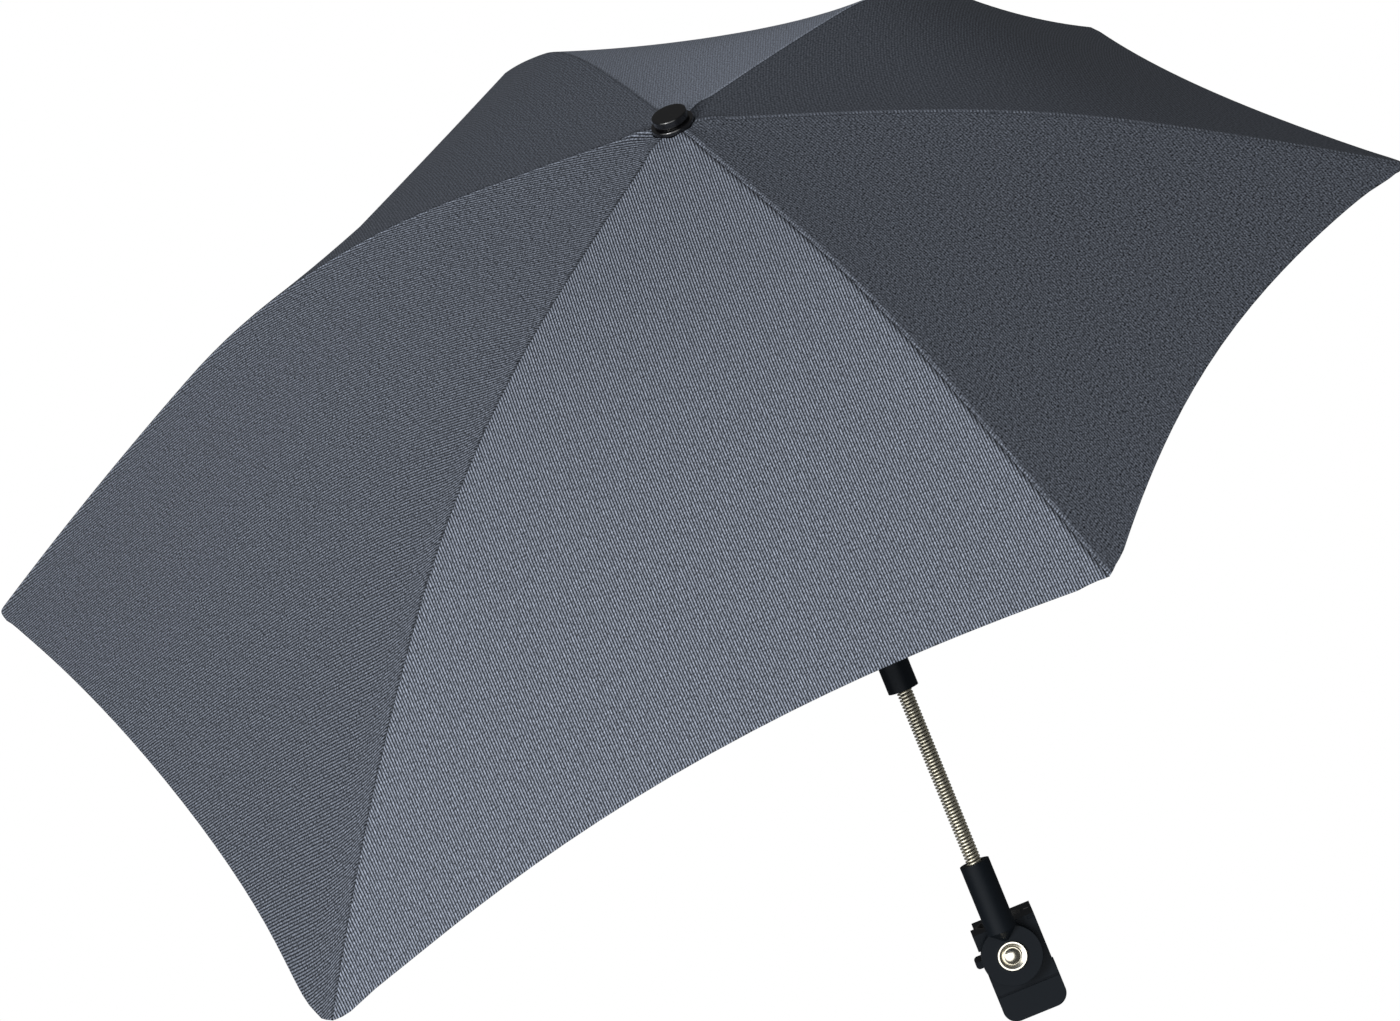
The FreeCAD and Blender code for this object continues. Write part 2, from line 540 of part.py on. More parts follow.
sink = size("rib_sink")
hinge_r = size("hinge_radius")
slope_hinge = math.asin((hinge_r + inner_bend * math.sin(slope_in)) / (inner_bend - sink))
inner_centre = upward(slope_in) * -inner_bend
pivot = inner_centre + upward(slope_hinge) * (inner_bend - sink)
pivot_depth = -pivot.z
joint_top = inner_centre + upward(slope_mid) * (inner_bend - sink)
joint = joint_top - Vector(0, 0, size("clip_drop"))
runner_depth = pivot_depth + 2 * (-joint.z - pivot_depth)
bar_side = size("lug_thick") / 2 + gap + size("bar_thick") / 2


def rib_wire(number):
    """The rib's round wire, its end point and its slope there."""
    arcs = rib_arcs(number)
    arcs[0] = (*arcs[0][:2], slope_hinge, slope_mid)
    bend, centre, first, last = arcs[-1]
    arcs[-1] = (bend, centre, first, last - size("tip_inset") / bend)
    edges = []
    for bend, centre, first, last in arcs:
        stops = [centre + upward(first + (last - first) * k / 2) * (bend - sink) for k in range(3)]
        edges.append(Part.Arc(*stops).toShape())
    section = Part.Wire(Part.makeCircle(size("rib_radius"), pivot, outward(slope_hinge)))
    return Part.Wire(edges).makePipeShell([section], True, False), stops[-1], last


for number in range(1, RIB_COUNT + 1):
    frame = rib_frame(number)
    shape, end, slope_end = rib_wire(number)
    wire_form = made(shape, frame)
    half_wire = size("rib_radius")
    eye = cylinder(frame.multiply(at(pivot.x, half_wire, pivot.z, "y")), "sizes.eye_radius", "2 * sizes.rib_radius")
    eye_hole = cylinder(frame.multiply(at(pivot.x, half_wire, pivot.z, "y")), "sizes.pin_radius + sizes.run_gap", "2 * sizes.rib_radius")
    rib = piece("rib_%d" % number, cut(join(wire_form, eye), eye_hole))

    ball = solid("Part::Sphere", frame.multiply(Placement(end, Rotation())), Radius="sizes.tip_radius")
    socket_turn = Rotation(Vector(0, 1, 0), math.degrees(slope_end) - 90)
    socket = cylinder(frame.multiply(Placement(end, socket_turn)), "sizes.rib_radius + sizes.tip_gap", "2 * sizes.tip_radius")
    piece("rib_tip_%d" % number, cut(ball, socket))

    clip_x = joint.x - size("clip_length") / 2
    half_clip = size("clip_width") / 2
    saddle = block(
        frame.multiply(at(clip_x, -half_clip, joint_top.z - 3.2)), "sizes.clip_length", "sizes.clip_width", "4"
    )
    half_lug = size("lug_thick") / 2
    lug = block(
        frame.multiply(at(joint.x - size("lug_radius"), -half_lug, joint.z)),
        "2 * sizes.lug_radius", "sizes.lug_thick", "sizes.clip_drop - 2",
    )
    lug_round = cylinder(frame.multiply(at(joint.x, half_lug, joint.z, "y")), "sizes.lug_radius", "sizes.lug_thick")
    lug_hole = cylinder(frame.multiply(at(joint.x, half_lug, joint.z, "y")), "sizes.pin_radius", "sizes.lug_thick")
    groove_turn = Rotation(Vector(0, 1, 0), 90 + math.degrees(slope_mid))
    groove_place = Placement(joint_top - outward(slope_mid) * size("clip_length"), groove_turn)
    groove = cylinder(frame.multiply(groove_place), "sizes.rib_radius + sizes.tip_gap", "2 * sizes.clip_length")
    piece("rib_clip_%d" % number, cut(join(saddle, lug, lug_round), lug_hole, groove))

    far = half_lug + 2 * gap + size("bar_thick")
    pin = cylinder(frame.multiply(at(joint.x, far, joint.z, "y")), "sizes.pin_radius", "%f" % (far + half_lug))
    near_head = cylinder(frame.multiply(at(joint.x, -half_lug, joint.z, "y")), "sizes.rivet_head", "sizes.head_thick")
    far_head = cylinder(
        frame.multiply(at(joint.x, far + size("head_thick"), joint.z, "y")), "sizes.rivet_head", "sizes.head_thick"
    )
    piece("stretcher_rivet_%d" % number, join(pin, near_head, far_head))

    runner_joint = Vector(hinge_r, 0, -runner_depth)
    way = joint - runner_joint
    bar_frame = frame.multiply(
        Placement(
            runner_joint + Vector(0, bar_side, 0),
            Rotation(Vector(0, 1, 0), -math.degrees(math.atan2(way.z, way.x))),
        )
    )
    half_bar = size("bar_thick") / 2
    bar = block(bar_frame.multiply(at(0, -half_bar, -size("bar_half"))), "%f" % way.Length, "sizes.bar_thick", "2 * sizes.bar_half")
    ends = [cylinder(bar_frame.multiply(at(x, half_bar, 0, "y")), "sizes.bar_half", "sizes.bar_thick") for x in (0, way.Length)]
    holes = [
        cylinder(bar_frame.multiply(at(x, half_bar, 0, "y")), "sizes.pin_radius + sizes.run_gap", "sizes.bar_thick")
        for x in (0, way.Length)
    ]
    piece("stretcher_%d" % number, cut(join(bar, *ends), *holes))

# Crown: notch with one slot and pin to each rib, washer and finial
notch_tall = size("crown_base") - size("crown_top")
notch_disc = cylinder(below(size("crown_base")), "sizes.crown_radius", "sizes.crown_base - sizes.crown_top")
notch_spigot = cylinder(below(size("crown_base") + size("notch_spigot")), "sizes.shaft_bore", "sizes.notch_spigot")
notch_cuts = []
pins = []
for number in range(1, RIB_COUNT + 1):
    frame = rib_frame(number)
    slot_place = frame.multiply(at(size("slot_floor"), -size("rib_slot") / 2, -size("crown_base") - 1))
    notch_cuts.append(block(slot_place, "sizes.crown_radius", "sizes.rib_slot", "%f" % (notch_tall + 2)))
    pin_place = frame.multiply(at(pivot.x, size("rib_slot") / 2 + 1.4, pivot.z, "y"))
    notch_cuts.append(cylinder(pin_place, "sizes.pin_radius", "sizes.rib_slot + 2.8"))
    pins.append(cylinder(pin_place, "sizes.pin_radius", "sizes.rib_slot + 2.8"))
notch_cuts.append(cylinder(below(size("crown_base")), "sizes.stud_radius", "sizes.crown_base"))
piece("top_notch", cut(join(notch_disc, notch_spigot), *notch_cuts))
piece("notch_pins", join(*pins))
washer_base = size("flange_sunk")
washer_top = size("flange_thick") - washer_base
washer = cylinder(below(washer_base), "sizes.flange_radius", "sizes.flange_thick")
washer_hole = cylinder(below(washer_base), "sizes.stud_radius", "sizes.flange_thick")
piece("crown_washer", cut(washer, washer_hole))
neck = cylinder(below(-washer_top), "sizes.neck_radius", "sizes.neck_height")
cap_drum = cylinder(below(-washer_top - size("neck_height")), "sizes.cap_radius", "sizes.cap_height")
stud = cylinder(below(size("crown_base")), "sizes.stud_radius", "sizes.crown_base + %f" % washer_top)
piece("finial_cap", join(neck, cap_drum, stud))

# Runner: slotted flange and sleeve sliding on the shaft tube
flange_base = runner_depth + size("runner_bar") / 2
flange = cylinder(below(flange_base), "sizes.crown_radius", "sizes.runner_bar")
tail = cylinder(below(flange_base + size("runner_tail")), "sizes.runner_radius", "sizes.runner_tail")
runner_tall = "sizes.runner_tail + sizes.runner_bar"
runner_foot = below(flange_base + size("runner_tail"))
runner_cuts = [cylinder(runner_foot, "sizes.shaft_radius + sizes.run_gap", runner_tall)]
for number in range(1, RIB_COUNT + 1):
    frame = rib_frame(number)
    slot_place = frame.multiply(at(size("runner_radius"), bar_side - size("bar_slot") / 2, -flange_base - 1))
    runner_cuts.append(block(slot_place, "sizes.crown_radius", "sizes.bar_slot", "sizes.runner_bar + 2"))
piece("runner", cut(join(flange, tail), *runner_cuts))

# Canopy: six gores, ruled between neighbouring ribs, with a scalloped rim and blunt corners
ROWS = 14
COLUMNS = 9


def corner_push(number, other):
    """How far past its end a rib's corner is cut so that the blunt edge lies square to the rib."""
    end, slope = ridge(number, rib_length(number))
    turn = Rotation(Vector(0, 0, 1), -size("rib_azimuth_%d" % number))
    chord = (share_point(other, 1) - share_point(number, 1)).normalize()
    return -chord.dot(turn.multVec(outward(slope))) * size("corner_half") / rib_length(number)


def gore(number):
    follower = number % RIB_COUNT + 1
    width = (share_point(follower, 1) - share_point(number, 1)).Length
    corner = size("corner_half") / width
    pushes = (corner_push(number, follower), corner_push(follower, number))
    ways = []
    for rib in (number, follower):
        turn = Rotation(Vector(0, 0, 1), -size("rib_azimuth_%d" % rib))
        ways.append(turn.multVec(Vector(rib_length(rib), 0, 0)))
    shares = [0.0] + [corner + (1 - 2 * corner) * k / (COLUMNS - 1) for k in range(COLUMNS)] + [1.0]
    sections = []
    for across in shares:
        push = pushes[0] * (1 - across) + pushes[1] * across
        push *= min(across, 1 - across, corner) / corner
        rim = 1 + push - size("rim_scallop_%d" % number) * 4 * across * (1 - across)
        start = size("fabric_hole") / (ways[0] * (1 - across) + ways[1] * across).Length
        top = []
        for i in range(ROWS):
            share = start + (rim - start) * i / (ROWS - 1)
            first = share_point(number, share, size("seam_gap") / 2)
            second = share_point(follower, share, -size("seam_gap") / 2)
            top.append(first * (1 - across) + second * across)
        low = [p - Vector(0, 0, size("fabric_thick")) for p in top]
        curves = []
        for line in (top, low[::-1]):
            curve = Part.BSplineCurve()
            curve.interpolate(line)
            curves.append(curve.toShape())
        ends = [Part.makeLine(top[-1], low[-1]), Part.makeLine(low[0], top[0])]
        sections.append(Part.Wire([curves[0], ends[0], curves[1], ends[1]]))
    return Part.makeLoft(sections, True, True)


for number in range(1, RIB_COUNT + 1):
    piece("canopy_panel_%d" % number, made(gore(number), crown_frame))

doc.recompute()
os.makedirs("parts", exist_ok=True)
for item in pieces:
    if "Invalid" in item.State or item.Shape.isNull() or not item.Shape.isValid():
        raise RuntimeError("%s did not build: %s" % (item.Label, item.State))
    item.Shape.exportStep("parts/%s.step" % item.Label)
print("%d pieces" % len(pieces))
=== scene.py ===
import json
import math

import bpy
import numpy as np
from mathutils import Matrix, Vector

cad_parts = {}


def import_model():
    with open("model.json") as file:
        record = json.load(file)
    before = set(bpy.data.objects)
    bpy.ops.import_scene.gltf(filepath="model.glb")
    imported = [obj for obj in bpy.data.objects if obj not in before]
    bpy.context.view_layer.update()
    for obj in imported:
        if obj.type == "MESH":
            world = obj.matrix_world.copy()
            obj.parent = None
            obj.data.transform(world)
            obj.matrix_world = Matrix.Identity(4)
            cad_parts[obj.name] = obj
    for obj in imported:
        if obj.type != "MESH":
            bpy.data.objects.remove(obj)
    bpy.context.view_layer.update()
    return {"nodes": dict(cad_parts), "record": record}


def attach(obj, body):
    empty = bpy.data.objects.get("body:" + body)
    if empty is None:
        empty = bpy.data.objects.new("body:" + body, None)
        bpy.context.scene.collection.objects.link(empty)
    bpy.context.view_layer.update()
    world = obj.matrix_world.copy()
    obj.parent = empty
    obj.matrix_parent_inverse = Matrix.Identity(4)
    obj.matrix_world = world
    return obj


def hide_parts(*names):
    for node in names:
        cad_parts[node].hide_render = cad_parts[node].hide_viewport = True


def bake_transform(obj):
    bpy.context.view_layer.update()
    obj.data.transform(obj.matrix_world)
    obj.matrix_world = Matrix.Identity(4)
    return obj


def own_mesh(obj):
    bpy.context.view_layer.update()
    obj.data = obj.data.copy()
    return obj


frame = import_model()
scene = bpy.context.scene

# Sizes in metres. Those of the mast and the ribs are the part's own
MAST_Y = -0.0282
KNUCKLE_Z = 0.185
LEAN = math.radians(23)
SHAFT_RUN = 0.2988
INNER_RUN = 0.130
SLOPE_CROWN = math.radians(7)
SLOPE_JOINT = math.radians(11)
CORNER_HALF = 0.008
FABRIC_THICK = 0.0008
FABRIC_HOLE = 0.0112
# Azimuth and corner slope in degrees, reach and drop of each rib's corner
RIBS = [
    (205.0, 0.457, 0.207, 38.0),
    (133.0, 0.436, 0.195, 43.0),
    (73.0, 0.361, 0.124, 30.0),
    (24.5, 0.341, 0.094, 24.0),
    (-41.0, 0.286, 0.132, 37.0),
    (-100.5, 0.386, 0.122, 27.0),
]
# Inset of each gore's rim as a share of its ribs
RIM_SCALLOPS = [0.025, 0.055, 0.065, 0.080, 0.090, 0.075]
# How far each gore's fabric sags between its ribs
SAGS = [0.002, 0.002, 0.002, 0.002, 0.008, 0.002]
# How far the fabric's corner reaches past each rib's end
CORNER_FLAPS = [0.004, 0.0075, 0.0, 0.004, 0.0, 0.0]
FLAP_HALF = 0.014
# and how far the rim beside the corner does, at each gore's two ribs
WINGS = [(0.003, 0.021), (0.008, 0.0), (0.0, 0.0), (0.0, 0.0), (0.0, 0.0), (0.0, 0.003)]
WING_RISE = 0.020
WING_LONG = 0.070
# Rounding of the corners, puckers over the ribs' inner ends, creases at the seams, hems and tip pockets
CORNER_EASE = 0.0016
CORNER_SOFT = 0.004
PUCKER_AT = 0.021
PUCKER_LONG = 0.006
PUCKER_HALF = 0.0045
PUCKER_RISE = 0.0013
PUCKER_DIP = 0.0009
CREASE_DEPTH = 0.0006
CREASE_HALF = 0.0008
HEM_WIDE = 0.009
HEM_THICK = 0.0006
HEM_BACK = 0.0006
POCKET_LONG = 0.024
POCKET_HALF = 0.0070
POCKET_DEEP = 0.0064
POCKET_BACK = 0.0012
# Gooseneck. Its core is drawn thicker than the solid, and ends in the sleeves' counterbores
COIL_RADIUS = 0.00412
WIRE_RADIUS = 0.00064
COIL_PITCH = 0.00176
COIL_LOW = 0.0485
COIL_HIGH = 0.1490
CORE_RADIUS = 0.0027
CORE_LOW = 0.0482
CORE_HIGH = 0.1493
# Mesh counts of the gores, the pockets, the coil and the core
ALONG = 54
ROW_EASE = 1.6
HALF = 18
BEAD = 4
POCKET_ROWS = 9
POCKET_COLUMNS = 13
TURN_STEPS = 20
WIRE_SIDES = 10
CORE_RINGS = 60
CORE_SIDES = 24
# Looks of the fabric
FABRIC_TINT = (0.885, 0.99, 1.21)
GRAIN_SIZE = 0.0011
# Painted shade darkens the fabric in the crease at each seam
CREASE_WIDE = 0.0022
CREASE_SHADE = 0.9
# Painted highlight on the stitches of the fringe beside each seam
FRINGE_WIDE = 0.0028
FRINGE_HIGHLIGHT = 2.0
STITCH_PITCH = 0.0018

UP = np.array([0, -math.sin(LEAN), math.cos(LEAN)])
RIGHT = np.array([1.0, 0, 0])
NEAR = np.array([0, -math.cos(LEAN), -math.sin(LEAN)])
CROWN = np.array([0, MAST_Y, KNUCKLE_Z]) + SHAFT_RUN * UP


# Materials
def material(name, colour, roughness, metallic=0.0, coat=0.0, gloss=0.5, edge=0.0):
    """Plain finish; edge is the radius that corners are shaded with."""
    made = bpy.data.materials.new(name)
    made.use_nodes = True
    shader = made.node_tree.nodes["Principled BSDF"]
    shader.inputs["Base Color"].default_value = (*colour, 1)
    shader.inputs["Roughness"].default_value = roughness
    shader.inputs["Metallic"].default_value = metallic
    shader.inputs["Coat Weight"].default_value = coat
    shader.inputs["Specular IOR Level"].default_value = gloss
    if edge:
        rounding = made.node_tree.nodes.new("ShaderNodeBevel")
        rounding.samples = 8
        rounding.inputs["Radius"].default_value = edge
        for socket in ("Normal", "Coat Normal"):
            made.node_tree.links.new(rounding.outputs["Normal"], shader.inputs[socket])
    return made


def band_scale(pitch):
    """The wave texture turns through 20 radians in a unit of its coordinate."""
    return 2 * math.pi / (20 * pitch)


def fabric(name, lit_tone, contrast, lean, pitch, grain, crease_shade_look, fringe_highlight_look):
    """Blue-grey twill in the panel's own metres; its tone holds the gore's painted light and shade, and its
    seams hold painted shade in the crease and a painted highlight on the stitched fringe.
    """
    made = material(name, (0.1, 0.1, 0.1), 0.75, gloss=0.08)
    nodes = made.node_tree.nodes
    links = made.node_tree.links
    shader = nodes["Principled BSDF"]

    def number(operation, first, second):
        node = nodes.new("ShaderNodeMath")
        node.operation = operation
        for socket, value in zip(node.inputs, (first, second)):
            if hasattr(value, "is_output"):
                links.new(value, socket)
            else:
                socket.default_value = value
        return node.outputs[0]

    def ranged(value, start, end, low, high):
        node = nodes.new("ShaderNodeMapRange")
        node.clamp = True
        for key, setting in zip(("From Min", "From Max", "To Min", "To Max"), (start, end, low, high)):
            node.inputs[key].default_value = setting
        links.new(value, node.inputs["Value"])
        return node.outputs["Result"]

    weave = nodes.new("ShaderNodeUVMap")
    weave.uv_map = "weave"
    turn = nodes.new("ShaderNodeMapping")
    turn.inputs["Rotation"].default_value = (0, 0, math.radians(lean))
    wave = nodes.new("ShaderNodeTexWave")
    wave.wave_type = "BANDS"
    wave.bands_direction = "X"
    wave.inputs["Scale"].default_value = band_scale(pitch)
    speck = nodes.new("ShaderNodeTexNoise")
    speck.inputs["Scale"].default_value = 1 / GRAIN_SIZE
    speck.inputs["Detail"].default_value = 1.0
    links.new(weave.outputs["UV"], turn.inputs["Vector"])
    links.new(turn.outputs["Vector"], wave.inputs["Vector"])
    links.new(weave.outputs["UV"], speck.inputs["Vector"])
    lines = ranged(wave.outputs["Fac"], 0, 1, 1 - contrast, 1 + contrast)
    grains = ranged(speck.outputs["Fac"], 0.25, 0.75, 1 - grain, 1 + grain)

    seam = nodes.new("ShaderNodeUVMap")
    seam.uv_map = "seam"
    split = nodes.new("ShaderNodeSeparateXYZ")
    links.new(seam.outputs["UV"], split.inputs["Vector"])
    # painted shade: the fabric darkens in the crease beside the next rib
    crease = ranged(split.outputs["X"], -CREASE_WIDE, 0, 1, 1 - CREASE_SHADE * crease_shade_look)
    beside = number("GREATER_THAN", split.outputs["X"], 0)
    crease = number("MAXIMUM", crease, beside)
    stitch = nodes.new("ShaderNodeTexWave")
    stitch.wave_type = "BANDS"
    stitch.bands_direction = "Y"
    stitch.inputs["Scale"].default_value = band_scale(STITCH_PITCH)
    links.new(seam.outputs["UV"], stitch.inputs["Vector"])
    # painted highlight: the stitches of the fringe beside the gore's own rib are lightened
    fringe = ranged(split.outputs["X"], FRINGE_WIDE * 0.5, FRINGE_WIDE, 1, 0)
    fringe = number("MULTIPLY", fringe, beside)
    fringe = number("MULTIPLY", fringe, stitch.outputs["Fac"])
    fringe = number("ADD", number("MULTIPLY", fringe, FRINGE_HIGHLIGHT * fringe_highlight_look), 1.0)
    shade = number("MULTIPLY", number("MULTIPLY", lines, grains), number("MULTIPLY", crease, fringe))
    tint = nodes.new("ShaderNodeVectorMath")
    tint.operation = "SCALE"
    # painted light and shade: the gore's tone sets how lit it looks, on the one fabric colour
    tint.inputs[0].default_value = [lit_tone * c for c in FABRIC_TINT]
    links.new(shade, tint.inputs["Scale"])
    links.new(tint.outputs["Vector"], shader.inputs["Base Color"])
    return made


# Tone, line contrast, line direction, line pitch and grain of each gore, starting at the left front one;
# the tones differ by painted light and shade, as the fabric is one colour. Then how strongly the painted
# shade in its crease at the next rib and the painted highlight on the fringe at its own rib show
GORE_LOOK = [
    (0.126, 0.90, -48, 0.00170, 0.90, 0.55, 0.60),
    (0.186, 1.00, 14.5, 0.00130, 0.70, 1.00, 0.00),
    (0.092, 0.40, -21, 0.00130, 0.95, 0.60, 1.00),
    (0.083, 0.20, 72, 0.00140, 0.60, 1.00, 1.00),
    (0.222, 0.20, 10, 0.00140, 0.70, 0.70, 0.30),
    (0.098, 0.25, -30, 0.00120, 0.90, 0.20, 0.00),
]
GORES = [fabric("fabric_%d" % (k + 1), *look) for k, look in enumerate(GORE_LOOK)]
HEM = material("hem", (0.060, 0.064, 0.076), 0.8)
BLACK = material("black_plastic", (0.009, 0.012, 0.016), 0.42, gloss=0.08, edge=0.0003)
GLOSS = material("gloss_black", (0.006, 0.006, 0.007), 0.14, coat=1.0, edge=0.0011)
RUBBER = material("rubber", (0.02, 0.02, 0.02), 0.8)
CHROME = material("chrome", (0.84, 0.80, 0.68), 0.24, 1.0)
SPRING = material("spring", (0.84, 0.80, 0.66), 0.26, 0.78)
STEEL = material("steel", (0.45, 0.45, 0.46), 0.35, 1.0)
FINISH = {
    "black_plastic": BLACK,
    "gloss_black": GLOSS,
    "rubber": RUBBER,
    "chrome": CHROME,
    "steel": STEEL,
    "canopy_fabric": GORES[0],
}
for entry in frame["record"]["subparts"]:
    node = frame["nodes"][entry["node"]]
    node.data.materials.clear()
    node.data.materials.append(FINISH[entry["material_slot"]])


# Canopy lines: a shared inner arc from the crown, then two arcs of the rib's own out to its corner
inner_bend = INNER_RUN / (math.sin(SLOPE_JOINT) - math.sin(SLOPE_CROWN))
joint_drop = inner_bend * (math.cos(SLOPE_CROWN) - math.cos(SLOPE_JOINT))


def upward(slope):
    return np.array([math.sin(slope), math.cos(slope)])


def outward(slope):
    return np.array([math.cos(slope), -math.sin(slope)])


def rib_arcs(reach, drop, slope_tip):
    """Bend radius, centre and both end slopes of the three arcs, in the rib's plane."""
    start = np.array([INNER_RUN, -joint_drop])
    end = np.array([reach, -drop])
    chord = end - start
    ways = outward(SLOPE_JOINT) + outward(slope_tip)
    a = 2 * (1 - outward(SLOPE_JOINT) @ outward(slope_tip))
    b = 2 * chord @ ways
    step = (-b + math.sqrt(b * b + 4 * a * chord @ chord)) / (2 * a)
    middle = chord - ways * step
    slope_turn = math.atan2(-middle[1], middle[0])
    bend_in = step / math.tan((slope_turn - SLOPE_JOINT) / 2)
    bend_out = step / math.tan((slope_tip - slope_turn) / 2)
    return [
        (inner_bend, upward(SLOPE_CROWN) * -inner_bend, SLOPE_CROWN, SLOPE_JOINT),
        (bend_in, start - upward(SLOPE_JOINT) * bend_in, SLOPE_JOINT, slope_turn),
        (bend_out, end - upward(slope_tip) * bend_out, slope_turn, slope_tip),
    ]


ARCS = [rib_arcs(reach, drop, math.radians(slope)) for azimuth, reach, drop, slope in RIBS]
LENGTHS = [sum(bend * (last - first) for bend, centre, first, last in arcs) for arcs in ARCS]
OUTS = [math.cos(math.radians(row[0])) * RIGHT + math.sin(math.radians(row[0])) * NEAR for row in RIBS]


def rib_line(rib, length):
    """Point of the fabric's ridge at that length from the crown, and its slope there."""
    for index, (bend, centre, first, last) in enumerate(ARCS[rib]):
        turn = length / bend
        if first + turn <= last or index == 2:
            out, up = centre + upward(first + turn) * bend
            return CROWN + out * OUTS[rib] + up * UP, first + turn
        length -= bend * (last - first)


def on_rib(rib, share):
    return rib_line(rib, share * LENGTHS[rib])[0]


def corner_push(rib, other):
    """How far past the rib's end its corner is cut, as a share, for a blunt edge square to the rib."""
    end, slope = rib_line(rib, LENGTHS[rib])
    way = math.cos(slope) * OUTS[rib] - math.sin(slope) * UP
    chord = on_rib(other, 1) - end
    return -(chord @ way) / np.linalg.norm(chord) * CORNER_HALF / LENGTHS[rib]


def after(gore):
    return (gore + 1) % len(RIBS)


def before(rib):
    return (rib - 1) % len(RIBS)


GORE_IDS = range(len(RIBS))
WIDTHS = [np.linalg.norm(on_rib(after(g), 1) - on_rib(g, 1)) for g in GORE_IDS]
PUSHES = [(corner_push(g, after(g)), corner_push(after(g), g)) for g in GORE_IDS]
SPREADS = [math.acos(OUTS[g] @ OUTS[after(g)]) for g in GORE_IDS]


def flap(gore, across):
    """How far the rim reaches past the ribs' ends, as a share: a flap at the corner and a wing beside it."""
    past = 0.0
    for rib, wing, away in ((gore, WINGS[gore][0], across), (after(gore), WINGS[gore][1], 1 - across)):
        near = away * WIDTHS[gore]
        tip = CORNER_FLAPS[rib] / (1 + (near / FLAP_HALF) ** 4)
        rise = (near / WING_RISE) ** 2
        beside = wing * (1 - away) * rise / (1 + rise) / (1 + (near / WING_LONG) ** 2)
        past += (tip + beside) / LENGTHS[rib]
    return past


def rim(gore, across):
    """The rim as a share of the ribs' lengths: scalloped, with blunt, rounded corners."""
    near = min(across, 1 - across) * WIDTHS[gore]
    push = PUSHES[gore][0] * (1 - across) + PUSHES[gore][1] * across
    push *= min(near / CORNER_HALF, 1)
    ease = CORNER_EASE / LENGTHS[gore] * math.exp(-(((near - CORNER_HALF) / CORNER_SOFT) ** 2))
    return 1 + push + flap(gore, across) - ease - RIM_SCALLOPS[gore] * 4 * across * (1 - across)


def pucker(point, across, spread):
    """How far the fabric stands up over the ribs' inner ends, and dips between them at the cap."""
    from_crown = point - CROWN
    out = np.linalg.norm(from_crown - (from_crown @ UP) * UP)
    beside = min(across, 1 - across) * spread * out
    over_rib = math.exp(-((beside / PUCKER_HALF) ** 2))
    hump = PUCKER_RISE * math.exp(-(((out - PUCKER_AT) / PUCKER_LONG) ** 2)) * over_rib
    dip = PUCKER_DIP * math.exp(-(((out - FABRIC_HOLE) / PUCKER_LONG) ** 2)) * (1 - over_rib)
    return hump - dip


def on_gore(gore, share, across):
    """Point of the fabric's top: share from the crown to the rim, across from this rib to the next."""
    reach = (1 - across) * LENGTHS[gore] * OUTS[gore] + across * LENGTHS[after(gore)] * OUTS[after(gore)]
    start = FABRIC_HOLE / np.linalg.norm(reach)
    along = start + (rim(gore, across) - start) * share
    flat = (1 - across) * on_rib(gore, along) + across * on_rib(after(gore), along)
    sag = SAGS[gore] * math.sin(math.pi * min(share, 1)) * 4 * across * (1 - across)
    return flat + (pucker(flat, across, SPREADS[gore]) - sag) * UP


def unit(v):
    return v / np.linalg.norm(v)


def gore_axes(gore, share, across):
    """Outward along the gore, and up off the fabric."""
    step = 1e-3
    low, high = max(share - step, 0), min(share + step, 1)
    left, right = max(across - step, 0), min(across + step, 1)
    along = unit(on_gore(gore, high, across) - on_gore(gore, low, across))
    side = unit(on_gore(gore, share, right) - on_gore(gore, share, left))
    normal = unit(np.cross(side, along))
    return along, normal if normal @ UP > 0 else -normal


def new_mesh(name, points, faces, materials, face_material=None, uvs=(), normals=None):
    """A smooth mesh; each of uvs is a (name, coordinates by vertex) pair."""
    mesh = bpy.data.meshes.new(name)
    mesh.from_pydata([tuple(p) for p in points], [], faces)
    for item in materials:
        mesh.materials.append(item)
    if face_material is not None:
        mesh.polygons.foreach_set("material_index", face_material)
    mesh.polygons.foreach_set("use_smooth", [True] * len(faces))
    for layer_name, values in uvs:
        layer = mesh.uv_layers.new(name=layer_name)
        for loop in mesh.loops:
            layer.data[loop.index].uv = values[loop.vertex_index]
    if normals is not None:
        mesh.normals_split_custom_set_from_vertices([tuple(n) for n in normals])
    made = bpy.data.objects.new(name, mesh)
    scene.collection.objects.link(made)
    return made


def grid_faces(rows, columns, flip):
    faces = []
    for i in range(rows - 1):
        for j in range(columns - 1):
            a = i * columns + j
            quad = (a, a + columns, a + columns + 1, a + 1)
            faces.append(quad[::-1] if flip else quad)
    return faces


def half_columns(far):
    """Places across a gore from a rib to the middle, closer together at the rib."""
    columns = [0.5 * (j / HALF) ** 2 for j in range(HALF + 1)]
    return [1 - across for across in columns] if far else columns


